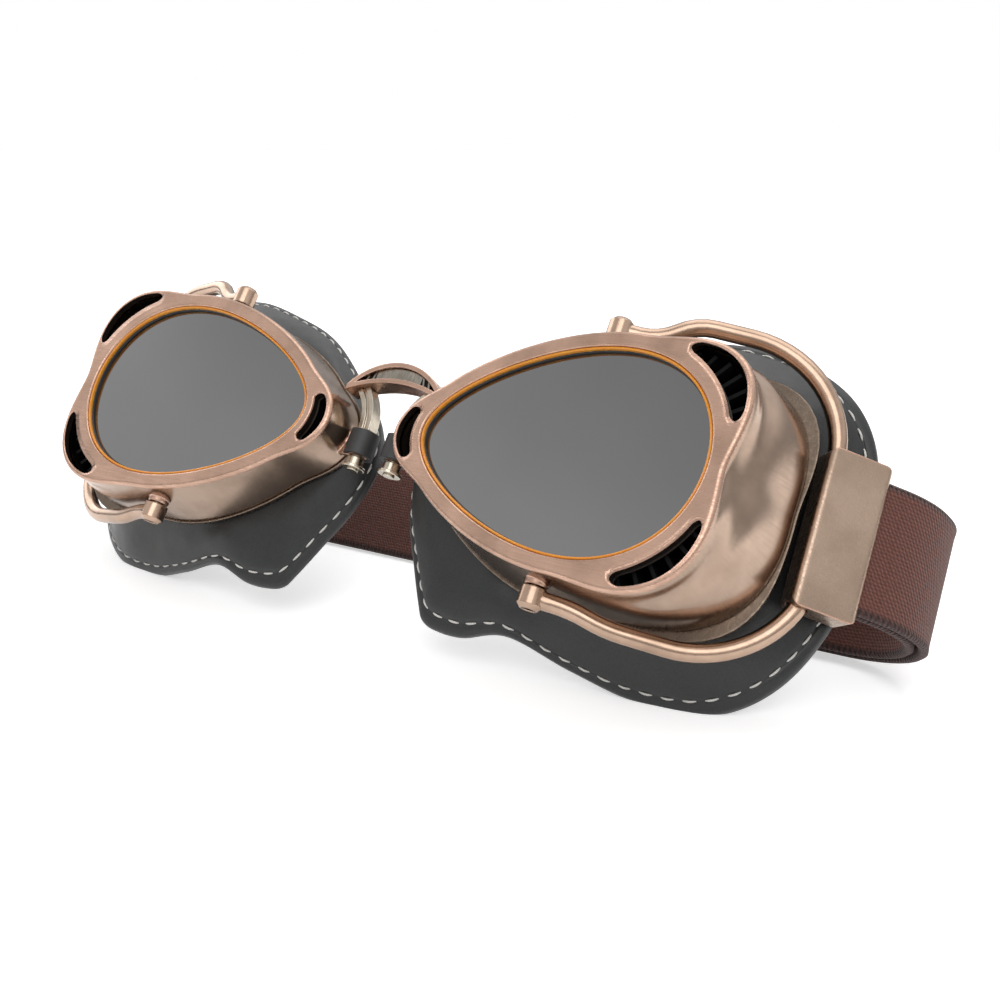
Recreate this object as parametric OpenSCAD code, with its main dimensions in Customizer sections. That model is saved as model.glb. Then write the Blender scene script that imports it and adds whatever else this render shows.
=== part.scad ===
// Vintage riding goggles with two die-cast eye cups, a sprung nose bridge,
// swinging strap bails and an elastic strap. They stand as they do on a table:
// leaning back on the leather pads and on the lower edge of the strap.
// X runs to the wearer's left, Y to the back and Z up. Left and right are the wearer's.

/* [Stance] */
// Angle that the goggles lean back when they are set down
lean = 37; // [32:0.5:42]
// Angle that each eye cup is toed in about its nose hinge
toe_in = 3.2; // [0:0.1:6]

/* [Lens] */
// Half the width of the lens opening
lens_a = 31.4; // [27:0.1:34]
// Half the height of the lens opening
lens_b = 20.9; // [18:0.1:24]
// How much fuller the temple end of the opening is than its nose end
lens_taper = 0.27; // [0.1:0.01:0.35]
// Distance from the middle of the goggles to the middle of an opening
lens_x = 47.8; // [46:0.1:54]
// Thickness of the lens
lens_t = 2; // [1.2:0.1:2.6]
// Width that the amber gasket shows inside the opening
gasket_w = 0.7; // [0.5:0.1:1.2]
// Thickness of the gasket behind the face plate
gasket_t = 0.5; // [0.3:0.1:1]

/* [Eye cup] */
// Thickness of the cast face plate
plate_t = 1.8; // [1.4:0.1:2.6]
// Width of the plain rim around the opening
rim_w = 3.4; // [2.6:0.1:4.4]
// Extra width of the plate at the upper vent
upper_lobe = 5.9; // [4.5:0.1:7]
// Extra width of the plate at the lower vent
lower_lobe = 5.2; // [4.5:0.1:6.5]
// Extra width of the plate at the nose vent
nose_lobe = 3.8; // [3:0.1:4.2]
// Radius of the rounded front edge
edge_r = 1.4; // [1:0.1:1.5]
// Width of the plate left outside each vent
rail_w = 1.7; // [1.7:0.1:2.4]
// Wall of the cup
wall = 1.5; // [1.2:0.1:2]
// Depth of the cup at the nose
depth_nose = 10.6; // [9:0.1:13]
// Depth that the cup gains for each millimetre towards the temple
rake = 0.108; // [0.06:0.002:0.112]
// Spread of the wall from front to back all round
wall_flare = 1; // [0.4:0.1:2]
// Further spread of the wall at the temple
temple_flare = 6.2; // [4.5:0.1:6.6]
// Further spread of the wall at the lower edge
chin_flare = 1.5; // [0:0.1:3]
// Thickness of the back plate
flange_t = 1; // [0.8:0.1:1.6]
// Width of the back plate that shows outside the cup
flange_lip = 0.4; // [0.2:0.1:0.7]
// Further width of the back plate at its two temple corners
flange_corner = 2.1; // [0:0.1:3]

/* [Nose bridge] */
// Distance from the middle of the goggles to a hinge axis
hinge_x = 4.9; // [4.6:0.1:5.5]
// Distance from the face of the plate back to a hinge axis
hinge_y = 9; // [8:0.1:10]
// Radius of the hinge pin
hinge_pin_r = 1.3; // [1:0.05:1.5]
// Height of the hinge knuckle
knuckle_h = 5.6; // [4:0.1:6]
// Outer radius of the rubber sleeve on the knuckle
sleeve_r = 3.3; // [2.8:0.05:3.3]
// Radius of the arch's upper edge
arch_r = 15.6; // [14:0.1:17]
// Height of the arch's crown above the middle of the lenses
arch_top = 17; // [16:0.1:18]
// Radius of the arch's lower edge
arch_under_r = 30; // [26:0.5:34]
// Height of the arch, edge to edge, at its middle
arch_h = 5; // [4.2:0.1:5.5]
// Width of the rails round the arch's window
arch_rail = 1.05; // [0.8:0.05:1.3]
// Depth of the arch from front to back
arch_d = 5.4; // [4.5:0.1:6]

/* [Bail and clasp] */
// Distance from the middle of a lens to its bail's pivot, towards the temple
lug_x_from_lens = 2.5; // [0:0.1:4]
// Distance from the face of the plate back to a bail's pivot
lug_y = 6; // [5.4:0.1:6.4]
// Radius of a bail's pivot barrel
barrel_r = 2.6; // [2.5:0.05:3]
// Length of a bail's pivot barrel
barrel_l = 4.6; // [4.4:0.1:7]
// Radius of a pivot pin
lug_pin_r = 1.15; // [0.9:0.05:1.3]
// Radius of the bail's wire
bail_r = 1.8; // [1.7:0.05:1.9]
// Room between the cup's temple side and the middle of the bail's wire
bail_room = 8.8; // [8.4:0.1:11]
// Radius of the bail's two large corners
bail_corner = 21; // [18:0.5:21]
// Angle that the bail stands back from the face plate when it rests
bail_angle = 22.5; // [21:0.5:26]
// Radius of the bail's wire inside the clasp
clasp_pin_r = 1.6; // [1.3:0.05:1.7]
// Width of the clasp
clasp_w = 12.6; // [11.5:0.1:14]
// Wall of the clasp
clasp_wall = 0.7; // [0.5:0.05:0.8]
// Angle that the clasp stands back when it rests
clasp_angle = 38; // [34:0.5:42]

/* [Strap] */
// Width of the elastic strap
strap_w = 26; // [22:0.5:28]
// Thickness of the strap
strap_t = 1.6; // [1.2:0.1:1.7]
// Gap between the two layers of the strap
strap_gap = 1.1; // [1:0.05:1.2]
// Length of strap from the bail's wire to the start of the bend
strap_lead = 14; // [13:0.1:18]
// Radius of the strap's bend, at the middle of its two layers
strap_bend = 16.9; // [14:0.1:20]
// Distance from the middle of the goggles to the sewn end of the strap's inner layer
tail_x = 58; // [40:1:76]

/* [Leather pads] */
// Thickness of the leather
leather_t = 1.8; // [1.4:0.1:2.4]
// How far the leather swells between the back plate and its sewn edge
leather_crown = 1.3; // [0:0.1:2]
// Depth of the sewn channel
channel_d = 0.5; // [0:0.1:0.8]
// Thickness of the face foam
foam_t = 7; // [4:0.5:10]

/* [Hidden] */
$fn = 64;

// Clearances
fit = 0.05;        // round running fits
seat = 0.1;        // faces that rest on each other
free = 0.3;        // pieces that pass each other
cut = 1;           // how far a cutting shape runs past what it cuts

// Heights measured from the middle of the lenses
lens_z = 0.2;
knuckle_z = -2.3;
strap_z = -0.8;
bail_z = 0.4;

// Points round an outline and their spacing
SIDES = 96;
STEP = 360 / SIDES;

lens_y = plate_t + gasket_t;
back_y = lens_y + lens_t;
rake_angle = atan(rake);
hinge_back = 11;
lug_x = lens_x + lug_x_from_lens;
bail_reach = lens_a + temple_flare + bail_room;
half_strap = strap_gap / 2 + strap_t;
clasp_t = 2 * (half_strap + free + clasp_wall);
clasp_h = strap_w + 5;
copper = [0.72, 0.53, 0.43];
nickel = [0.72, 0.68, 0.6];
black = [0.16, 0.16, 0.17];

// Swell of an outline: 1 at angle c, falling to 0 at w degrees on each side
function bump(t, c, w) =
    let (d = abs((t - c + 900) % 360 - 180))
    d < w ? (1 + cos(180 * d / w)) / 2 : 0;

// Lens outline at angle t, measured from the temple, and the unit normal there
function lens_pt(t) =
    [lens_x + lens_a * cos(t), lens_z + lens_b * sin(t) * (1 + lens_taper * cos(t))];
function lens_dir(t) =
    let (u = lens_b * (cos(t) * (1 + lens_taper * cos(t)) - lens_taper * pow(sin(t), 2)),
         v = lens_a * sin(t))
    [u, v] / norm([u, v]);
function out(t, d) = lens_pt(t) + d * lens_dir(t);
function outline(d) = [for (i = [0 : SIDES - 1]) out(i * STEP, d)];

// Distances outside the lens opening
upper_t = 33;
lower_t = -39;
nose_t = 183;
function plate_out(t) = rim_w + upper_lobe * bump(t, upper_t, 36)
    + lower_lobe * bump(t, lower_t, 40) + nose_lobe * bump(t, nose_t, 36);
function cup_out(t, s) = plate_out(t) + s * (wall_flare + chin_flare * bump(t, -95, 55))
    + (1 - pow(1 - s, 1.6)) * temple_flare * bump(t, -3, 56);
function back_out(t) = cup_out(t, 1);
function flange_out(t) = back_out(t) + flange_lip
    + flange_corner * (bump(t, 30, 30) + bump(t, -38, 30));
// Depth of the back of the cup below a point of the face plate
function back_depth(x) = depth_nose + rake * (x - hinge_x);

function lerp(a, b, s) = a + (b - a) * s;
// Point in space from a point of the face plate and a depth
function deep(p, y) = [p[0], y, p[1]];

// Closed solid through a list of rings that have as many points each
module skin(rings) {
    n = len(rings[0]);
    m = len(rings);
    pts = [for (r = rings) for (p = r) p];
    faces = [for (j = [0 : m - 1]) for (i = [0 : n - 1])
        let (a = j * n + i, b = j * n + (i + 1) % n,
             c = ((j + 1) % m) * n + (i + 1) % n, d = ((j + 1) % m) * n + i)
        each [[a, b, c], [a, c, d]]];
    polyhedron(pts, faces, convexity = 6);
}

// Upright profile, given in X and Z, made d deep from depth y0
module slab(y0, d) {
    translate([0, y0 + d, 0]) rotate([90, 0, 0]) linear_extrude(d) children();
}

// Places: the whole on the floor, an eye cup on its hinge, a bail, a clasp
module stand() {
    translate([0, -stand_y, floor_z]) rotate([-lean, 0, 0]) children();
}
module eye() {
    translate([hinge_x, hinge_back, 0]) rotate([0, 0, -toe_in])
        translate([-hinge_x, -hinge_y, 0]) children();
}
module at_lug() {
    translate([lug_x, lug_y, bail_z]) children();
}
module at_bail() {
    at_lug() rotate([0, 0, bail_angle]) children();
}
module side(s) {
    stand() if (s > 0) children(); else mirror([1, 0, 0]) children();
}

// The bail's straight side, seen from above, when it rests
swing = bail_angle - toe_in;
pivot = let (x = lug_x - hinge_x, y = lug_y - hinge_y)
    [hinge_x + x * cos(toe_in) + y * sin(toe_in) + bail_reach * cos(swing),
     hinge_back - x * sin(toe_in) + y * cos(toe_in) + bail_reach * sin(swing)];
bend_start = pivot + strap_lead * [cos(clasp_angle), sin(clasp_angle)];
bend_mid = bend_start + strap_bend * [-sin(clasp_angle), cos(clasp_angle)];
rear_y = bend_mid[1] + strap_bend;
// The strap's lower edge at the back stands on the table
floor_z = (rear_y + half_strap) * sin(lean) + (strap_w / 2 - strap_z) * cos(lean);
// Middle of the whole from front to back
stand_y = 20.19;

// Face plate

module egg(d) {
    polygon(outline(d));
}
// Outline of a vent from t0 to t1: its ends are rounded off over the last part of its length
function vent(t0, t1, inner, rail, steps) =
    let (half = [for (i = [0 : steps])
        let (k = -cos(180 * i / steps), t = (t0 + t1) / 2 + k * (t1 - t0) / 2,
             outer = plate_out(t) - rail, mid = (inner + outer) / 2,
             e = max(0, (abs(k) - 0.84) / 0.16))
        [t, mid, (outer - inner) / 2 * sqrt(max(0, 1 - e * e))]])
    concat([for (i = [0 : steps]) out(half[i][0], half[i][1] + half[i][2])],
        [for (i = [steps - 1 : -1 : 1]) out(half[i][0], half[i][1] - half[i][2])]);
module face_plate() {
    slab(0, plate_t) difference() {
        polygon([for (i = [0 : SIDES - 1]) let (t = i * STEP) out(t, plate_out(t) - edge_r + 0.4)]);
        egg(0);
        polygon(vent(13, 53, rim_w - 0.2, rail_w, 24));
        polygon(vent(-57, -18, rim_w - 0.5, rail_w, 24));
        polygon(vent(163, 203, rim_w - 0.7, rail_w + 0.3, 20));
    }
}

// Cup wall: rounded front edge, flared wall, and the same inside

ROUND = 4;
WALLS = 4;
function wall_ring(s, inset, y_front) = [for (i = [0 : SIDES - 1])
    let (t = i * STEP, p = out(t, cup_out(t, s) - inset))
    deep(p, lerp(y_front, back_depth(p[0]), s))];
function edge_ring(turn) = [for (i = [0 : SIDES - 1])
    let (t = i * STEP)
    deep(out(t, plate_out(t) - edge_r * (1 - sin(turn))), edge_r * (1 - cos(turn)))];
function plate_ring(d, y) = [for (i = [0 : SIDES - 1])
    let (t = i * STEP) deep(out(t, plate_out(t) - d), y)];
module cup_wall() {
    skin(concat(
        [plate_ring(edge_r + 0.15, plate_t - 0.3), plate_ring(edge_r + 0.15, 0.3)],
        [for (k = [1 : ROUND]) edge_ring(90 * k / ROUND)],
        [for (k = [1 : WALLS]) wall_ring(k / WALLS, 0, edge_r)],
        [for (k = [WALLS : -1 : 1]) wall_ring(k / WALLS, wall, edge_r)],
        [plate_ring(wall, plate_t + 0.3)]));
}

// Bosses for the bail's pins and the knuckle of the nose hinge

boss_top = lens_b + rim_w + 0.9;
boss_low = boss_top + 1.4;
boss_r = 2.3;
boss_h = 1.4;
function boss_at(up) = up > 0 ? boss_top : -boss_low;
module boss(up) {
    translate([lug_x, lug_y, bail_z + boss_at(up) - (up > 0 ? boss_h : 0)])
        cylinder(r = boss_r, h = up > 0 ? boss_h : boss_h + 1);
}
module knuckle() {
    translate([hinge_x, hinge_y, knuckle_z - knuckle_h / 2]) cylinder(r = 2.15, h = knuckle_h);
    translate([hinge_x, hinge_y - 0.8, knuckle_z - knuckle_h / 2])
        cube([lens_x - lens_a - nose_lobe - rim_w + 0.6 - hinge_x, 1.6, knuckle_h]);
}
module frame() {
    color(copper) difference() {
        union() {
            face_plate();
            cup_wall();
            boss(1);
            boss(-1);
            knuckle();
        }
        translate([hinge_x, hinge_y, knuckle_z - knuckle_h / 2 - cut])
            cylinder(r = hinge_pin_r + fit, h = knuckle_h + 2 * cut);
        for (up = [-1, 1]) translate([lug_x, lug_y, bail_z + boss_at(up) - 1.7])
            cylinder(r = lug_pin_r + 0.01, h = 3.4);
    }
}

module lens() {
    color([0.42, 0.43, 0.44]) slab(lens_y, lens_t) egg(1);
}
module gasket() {
    color([0.85, 0.5, 0.05]) {
        slab(plate_t, gasket_t) difference() {
            egg(1.3);
            egg(-gasket_w);
        }
        slab(0.5, plate_t - 0.5) difference() {
            egg(-0.05);
            egg(-gasket_w);
        }
    }
}

// Black ring that holds the lens, with the fins seen through the vents

fin_t = 0.8;
module fin(t) {
    d0 = rim_w - wall - 0.3;
    d1 = plate_out(t) - wall - 0.5;
    p = out(t, d0);
    n = lens_dir(t);
    translate([p[0], plate_t + 1.2, p[1]]) rotate([0, -atan2(n[1], n[0]), 0])
        translate([0, 0, -fin_t / 2]) cube([d1 - d0, 5.5, fin_t]);
}
function ring(d, y) = [for (i = [0 : SIDES - 1]) deep(out(i * STEP, d), y)];
function back_ring(d) = [for (i = [0 : SIDES - 1])
    let (p = out(i * STEP, d)) deep(p, back_depth(p[0]) - seat)];
module baffle() {
    outer = rim_w - wall - 0.1;
    color(black) {
        skin([ring(-0.6, back_y), ring(1.05, back_y), ring(1.05, lens_y), ring(outer, lens_y),
            back_ring(outer), back_ring(0.6)]);
        for (t = [17 : 5.5 : 50]) fin(t);
        for (t = [-54 : 6 : -22]) fin(t);
    }
}

// Back plate, in the raked plane of the back of the cup

module raked() {
    translate([hinge_x, depth_nose, 0]) rotate([0, 0, rake_angle]) children();
}
function in_rake(p) = [(p[0] - hinge_x) / cos(rake_angle), p[1]];
module flange() {
    color(nickel) raked() slab(0, flange_t) difference() {
        polygon([for (i = [0 : SIDES - 1]) let (t = i * STEP) in_rake(out(t, flange_out(t)))]);
        polygon([for (i = [0 : SIDES - 1]) in_rake(out(i * STEP, 0.4))]);
    }
}

// Leather pad. Each point of its sewn edge: X, Z, depth, and the angle it is drawn from

edge_pts = [
    [98.8, 2, 34.2, 0], [97.6, 18, 33.6, 22], [91, 29.5, 31.8, 42], [79, 36, 29.3, 62],
    [64, 37.5, 26.5, 82], [48, 33.5, 24, 105], [33, 27.5, 21.5, 130], [19, 16.5, 19.5, 152],
    [8.5, 6, 18, 170], [5.4, -3, 17.6, 185], [7.4, -14, 17.8, 200], [12.6, -24.5, 18.2, 213],
    [16.8, -32.2, 18.6, 221.5], [18.8, -35, 18.8, 225.5], [22.4, -36.2, 19, 230.5],
    [29, -36.3, 19, 239], [39, -34, 19, 249],
    [52, -36.8, 24.5, 264], [66, -38.8, 30, 283], [80, -37, 32.4, 303],
    [90.5, -28.5, 33.6, 322], [97, -14, 34.3, 341]];
SMOOTH = 3;
function turned(k) = edge_pts[(k + len(edge_pts)) % len(edge_pts)]
    + [0, 0, 0, k < 0 ? -360 : k >= len(edge_pts) ? 360 : 0];
function spline(k, s) =
    let (a = turned(k - 1), b = turned(k), c = turned(k + 1), d = turned(k + 2))
    (2 * b + (c - a) * s + (2 * a - 5 * b + 4 * c - d) * s * s
        + (3 * b - a - 3 * c + d) * s * s * s) / 2;
sewn = [for (k = [0 : len(edge_pts) - 1]) for (j = [0 : SMOOTH - 1]) spline(k, j / SMOOTH)];

// Nothing of the soft parts reaches below the table
upward = [0, -sin(lean), cos(lean)];
function on_table(p) = let (h = p * upward + floor_z) h < 0 ? p - h * upward : p;
// The same for a point of an eye cup
function to_body(p) = let (x = p[0] - hinge_x, y = p[1] - hinge_y)
    [hinge_x + x * cos(toe_in) + y * sin(toe_in), hinge_back - x * sin(toe_in) + y * cos(toe_in), p[2]];
function from_body(p) = let (x = p[0] - hinge_x, y = p[1] - hinge_back)
    [hinge_x + x * cos(toe_in) - y * sin(toe_in), hinge_y + x * sin(toe_in) + y * cos(toe_in), p[2]];
function on_table_eye(p) = from_body(on_table(to_body(p)));

// The leather starts this far outside the lens opening; it leaves room for the clasp
function root_out(t) = back_out(t) - 0.6 - 4.5 * bump(t, 0, 62);
function swell(t, s) = (leather_crown - 4.3 * bump(t, 0, 62)) * sin(180 * s);
function behind(t, d) = let (p = out(t, d)) deep(p, back_depth(p[0]) + flange_t + seat);
// A ring of the pad: s runs from the back plate to the sewn edge, lift is towards the front
function soft_ring(inner, s, lift, k = 1) = [for (e = sewn)
    let (t = e[3])
    on_table_eye(lerp(behind(t, root_out(t) - inner), [e[0], e[2], e[1]], s)
        - [0, lift + k * swell(t, s), 0])];
module pad() {
    color(black) skin([
        soft_ring(2.9, 0, 0, 0), soft_ring(0, 0, 0, 0), soft_ring(0, 0.18, 0),
        soft_ring(0, 0.4, 0), soft_ring(0, 0.62, 0), soft_ring(0, 0.8, 0),
        soft_ring(0, 0.84, -channel_d), soft_ring(0, 0.88, 0), soft_ring(0, 1, 0.2),
        soft_ring(0, 1, -leather_t), soft_ring(0, 0.7, -leather_t), soft_ring(0, 0.4, -leather_t),
        soft_ring(0, 0.1, -leather_t), soft_ring(2.9, 0, -leather_t, 0)]);
}
module foam() {
    h = leather_t + free;
    color([0.1, 0.1, 0.1]) skin([
        soft_ring(2.9, 0.12, -h), soft_ring(2.9, 0.4, -h), soft_ring(2.9, 0.7, -h),
        soft_ring(2.9, 0.8, -h - foam_t * 0.3), soft_ring(2.9, 0.76, -h - foam_t * 0.6),
        soft_ring(2.9, 0.6, -h - foam_t * 0.9), soft_ring(2.9, 0.4, -h - foam_t),
        soft_ring(2.9, 0.16, -h - foam_t * 0.85), soft_ring(2.9, 0.02, -h - foam_t * 0.4)]);
}

// Rubber sleeve round the knuckle, open towards the cup

module sleeve() {
    color(black) translate([hinge_x, hinge_y, knuckle_z - knuckle_h / 2]) difference() {
        cylinder(r = sleeve_r, h = knuckle_h);
        translate([0, 0, -cut]) cylinder(r = 2.15 + fit, h = knuckle_h + 2 * cut);
        translate([0, -0.8 - fit, -cut]) cube([sleeve_r + cut, 1.6 + 2 * fit, knuckle_h + 2 * cut]);
    }
}

// Bail: a bent wire between two barrels. Lengths run along it from its pivot

low_barrel_l = barrel_l - 0.4;
bail_top = boss_top + 7.8;
bail_bottom = boss_top + 5.3;
straight_top = bail_top - bail_corner;
straight_bottom = clasp_h / 2 - 1.2 - strap_z + bail_z;
dip_start = barrel_r + 1.5;
dip_l = 14;
WIRE_SIDES = 16;
// Places along an arc of the wire: X, Z and the wire's direction, for a turn from a0 to a1
function arc_path(c, r, a0, a1, n) = [for (k = [0 : n]) let (a = lerp(a0, a1, k / n))
    [c[0] + r * cos(a), c[1] + r * sin(a), a + (a1 > a0 ? 90 : -90)]];
// Wire along a list of such places
module wire(path) {
    m = len(path);
    n = WIRE_SIDES;
    pts = [for (p = path) for (i = [0 : n - 1]) let (a = i * 360 / n)
        [p[0] - bail_r * cos(a) * sin(p[2]), bail_r * sin(a), p[1] + bail_r * cos(a) * cos(p[2])]];
    sides = [for (j = [0 : m - 2]) for (i = [0 : n - 1])
        let (k = (i + 1) % n)
        each [[j * n + i, j * n + k, j * n + n + k], [j * n + i, j * n + n + k, j * n + n + i]]];
    polyhedron(pts, concat(sides, [[for (i = [n - 1 : -1 : 0]) i],
        [for (i = [0 : n - 1]) (m - 1) * n + i]]), convexity = 6);
}
module barrel(length, open) {
    difference() {
        union() {
            cylinder(r = barrel_r, h = length - 0.8);
            translate([0, 0, length - 0.8]) cylinder(r1 = barrel_r, r2 = barrel_r - 0.8, h = 0.8);
        }
        translate([0, 0, -cut])
            cylinder(r = lug_pin_r + fit, h = length + (open ? 2 * cut : cut - 0.9));
    }
}
// One half of the bail: it rises to top, then turns down to its straight side at z0.
// The turn starts with a tight bend of radius 5 through the angle a1.
module half_bail(foot, length, top, z0, a1) {
    barrel_z = foot + 0.35;
    wire_z = barrel_z + length - bail_r - 0.6;
    turn = 2 * atan((top - wire_z) / dip_l);
    dip_r = dip_l / 2 / sin(turn);
    z1 = z0 + 5 * sin(a1);
    x1 = bail_reach - 5 * (1 - cos(a1));
    r2 = (top - z1) / (1 - sin(a1));
    x2 = x1 - r2 * cos(a1);
    translate([0, 0, barrel_z]) barrel(length, a1 > 0);
    wire(concat([[barrel_r - 0.7, wire_z, 0]],
        arc_path([dip_start, wire_z + dip_r], dip_r, -90, turn - 90, 4),
        arc_path([dip_start + dip_l, top - dip_r], dip_r, 90 + turn * 0.75, 90, 3),
        arc_path([x2, top - r2], r2, 90, a1, 14),
        a1 > 0 ? arc_path([bail_reach - 5, z0], 5, a1 * 0.75, 0, 3) : [],
        [[bail_reach, z0 - 0.4, -90]]));
}
module bail() {
    color(nickel) at_bail() {
        half_bail(boss_top, barrel_l, bail_top, straight_top, 0);
        mirror([0, 0, 1]) half_bail(boss_low, low_barrel_l, bail_bottom, straight_bottom, 24);
        translate([bail_reach, 0, -straight_bottom])
            cylinder(r = clasp_pin_r, h = straight_bottom + straight_top);
    }
}
module lug_pins() {
    color(nickel) at_lug() {
        translate([0, 0, boss_top - 1.6]) cylinder(r = lug_pin_r, h = 1.6 + barrel_l - 1);
        translate([0, 0, -boss_low - low_barrel_l + 0.6])
            cylinder(r = lug_pin_r, h = 1 + low_barrel_l);
    }
}

// Clasp: u runs along the strap from the bail's wire, v across it

clasp_back = 2.4;
pin_u = 5;
module at_clasp() {
    translate([pivot[0], pivot[1], strap_z]) rotate([0, 0, clasp_angle]) children();
}
// Rectangle with rounded corners from a to b
function round_box(a, b, r) = [for (c = [[1, 1, 0], [-1, 1, 90], [-1, -1, 180], [1, -1, 270]])
    for (k = [0 : 6])
        [(c[0] > 0 ? b[0] : a[0]) - c[0] * r + r * cos(c[2] + 15 * k),
         (c[1] > 0 ? b[1] : a[1]) - c[1] * r + r * sin(c[2] + 15 * k)]];
module clasp() {
    color(copper) at_clasp() difference() {
        intersection() {
            translate([0, 0, -clasp_h / 2]) linear_extrude(clasp_h)
                polygon(round_box([-clasp_back, -clasp_t / 2], [clasp_w - clasp_back, clasp_t / 2], 1.1));
            slab(-clasp_t, 2 * clasp_t)
                polygon(round_box([-clasp_back, -clasp_h / 2], [clasp_w - clasp_back, clasp_h / 2], 1.6));
        }
        translate([0, 0, -clasp_h / 2 - cut]) cylinder(r = clasp_pin_r + fit, h = clasp_h + 2 * cut);
        translate([0, 0, straight_top + bail_z - strap_z - 0.5])
            cylinder(r = bail_r + 0.25, h = clasp_h);
        translate([0, 0, -clasp_h / 2 - cut]) cylinder(r = bail_r + 0.25, h = cut + 2);
        translate([pin_u - half_strap - free, -half_strap - free, -strap_w / 2 - free])
            cube([clasp_w, 2 * (half_strap + free), strap_w + 2 * free]);
        translate([pin_u, 0, -clasp_h / 2 + 0.8])
            cylinder(r = strap_gap / 2 - fit + 0.01, h = clasp_h - 1.6);
    }
}
module strap_pin() {
    color(nickel) at_clasp() translate([pin_u, 0, -clasp_h / 2 + 0.9])
        cylinder(r = strap_gap / 2 - fit, h = clasp_h - 1.8);
}

// Strap: one band whose two ends are folded round the strap pins and sewn back to it

BEND = 24;
pin_at = pivot + pin_u * [cos(clasp_angle), sin(clasp_angle)];
function around(c, r, a0, a1, n) = [for (k = [0 : n]) let (a = lerp(a0, a1, k / n))
    c + r * [cos(a), sin(a)]];
function band_half(d) = concat(
    around(bend_mid, strap_bend + d, 90, clasp_angle - 90, BEND),
    around(pin_at, d, clasp_angle - 90, clasp_angle - 270, 12),
    around(bend_mid, strap_bend - d, clasp_angle - 90, 90, BEND));
function mirrored(list) = [for (i = [len(list) - 1 : -1 : 0]) [-list[i][0], list[i][1]]];
module strap() {
    half = concat(band_half(half_strap), [[tail_x, rear_y - half_strap],
        [tail_x, rear_y + strap_gap / 2]]);
    gap = concat(band_half(strap_gap / 2), [[tail_x + 4, rear_y - strap_gap / 2],
        [tail_x + 4, rear_y + strap_gap / 2]]);
    color([0.4, 0.25, 0.22]) translate([0, 0, strap_z - strap_w / 2]) linear_extrude(strap_w)
        difference() {
            polygon(concat(half, mirrored(half)));
            polygon(gap);
            polygon(mirrored(gap));
        }
}

// Nose bridge: an arch with a window, a bright bar and a dark block in it, two legs

arch_y = 8;
leg_top = [8.6, 10.2];
arch_under = arch_top - arch_h;
module crescent(inset) {
    difference() {
        translate([0, arch_top - arch_r]) circle(r = arch_r - inset, $fn = 96);
        translate([0, arch_under - arch_under_r]) circle(r = arch_under_r + inset, $fn = 160);
        for (s = [-1, 1]) translate([s * (30 + arch_r - 2.9 - inset), 0]) square(60, center = true);
    }
}
module bridge_arch() {
    color(copper) slab(arch_y, arch_d) difference() {
        crescent(0);
        crescent(arch_rail);
    }
}
module bridge_bar() {
    color(nickel) slab(arch_y + 0.7, 1.6) intersection() {
        crescent(arch_rail + seat);
        square([17.4, 60], center = true);
    }
}
module bridge_liner() {
    color(black) slab(arch_y + 2.4, arch_d - 2.8) crescent(arch_rail + seat);
}
leg_z = knuckle_z + knuckle_h / 2 + 0.4;
leg_r = (pow(leg_top[0] - hinge_x, 2) + pow(leg_top[1] - leg_z, 2)) / 2 / (leg_top[0] - hinge_x);
leg_turn = atan2(leg_top[1] - leg_z, leg_r + hinge_x - leg_top[0]);
module leg_strip(half_w) {
    c = [hinge_x + leg_r, leg_z];
    intersection() {
        polygon(concat(around(c, leg_r - half_w, 180, 180 - leg_turn - 3, 12),
            around(c, leg_r + half_w, 180 - leg_turn - 3, 180, 12)));
        translate([0, arch_under - arch_under_r]) circle(r = arch_under_r - seat, $fn = 160);
    }
}
module leg() {
    color(nickel) {
        difference() {
            slab(hinge_back - 1.6, 3.2) leg_strip(1.5);
            slab(hinge_back - 1.6 - cut, cut + 0.5) leg_strip(0.35);
        }
        translate([hinge_x, hinge_back, knuckle_z - knuckle_h / 2 - 3.4])
            cylinder(r = hinge_pin_r, h = leg_z - knuckle_z + knuckle_h / 2 + 3.4 + 0.4);
    }
}
module clip() {
    color(nickel) translate([hinge_x, hinge_back, knuckle_z - knuckle_h / 2 - 3]) difference() {
        union() {
            cylinder(r = 2.6, h = 0.7);
            cylinder(r = 1.9, h = 2.6);
        }
        translate([0, 0, -cut]) cylinder(r = hinge_pin_r + 0.01, h = 2.6 + 2 * cut);
    }
}

side(1) eye() frame();  // left_frame
side(1) eye() lens();  // left_lens
side(1) eye() gasket();  // left_gasket
side(1) eye() baffle();  // left_baffle
side(1) eye() flange();  // left_flange
side(1) eye() pad();  // left_pad
side(1) eye() foam();  // left_foam
side(1) eye() sleeve();  // left_sleeve
side(1) eye() lug_pins();  // left_lug_pins
side(1) eye() bail();  // left_bail
side(1) clasp();  // left_clasp
side(1) strap_pin();  // left_strap_pin
side(-1) eye() frame();  // right_frame
side(-1) eye() lens();  // right_lens
side(-1) eye() gasket();  // right_gasket
side(-1) eye() baffle();  // right_baffle
side(-1) eye() flange();  // right_flange
side(-1) eye() pad();  // right_pad
side(-1) eye() foam();  // right_foam
side(-1) eye() sleeve();  // right_sleeve
side(-1) eye() lug_pins();  // right_lug_pins
side(-1) eye() bail();  // right_bail
side(-1) clasp();  // right_clasp
side(-1) strap_pin();  // right_strap_pin
stand() bridge_arch();
stand() bridge_bar();
stand() bridge_liner();
side(1) leg();  // left_leg
side(-1) leg();  // right_leg
side(1) clip();  // left_clip
side(-1) clip();  // right_clip
stand() strap();
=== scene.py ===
import math
import random
import bmesh
import bpy
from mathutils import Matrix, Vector, noise


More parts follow.
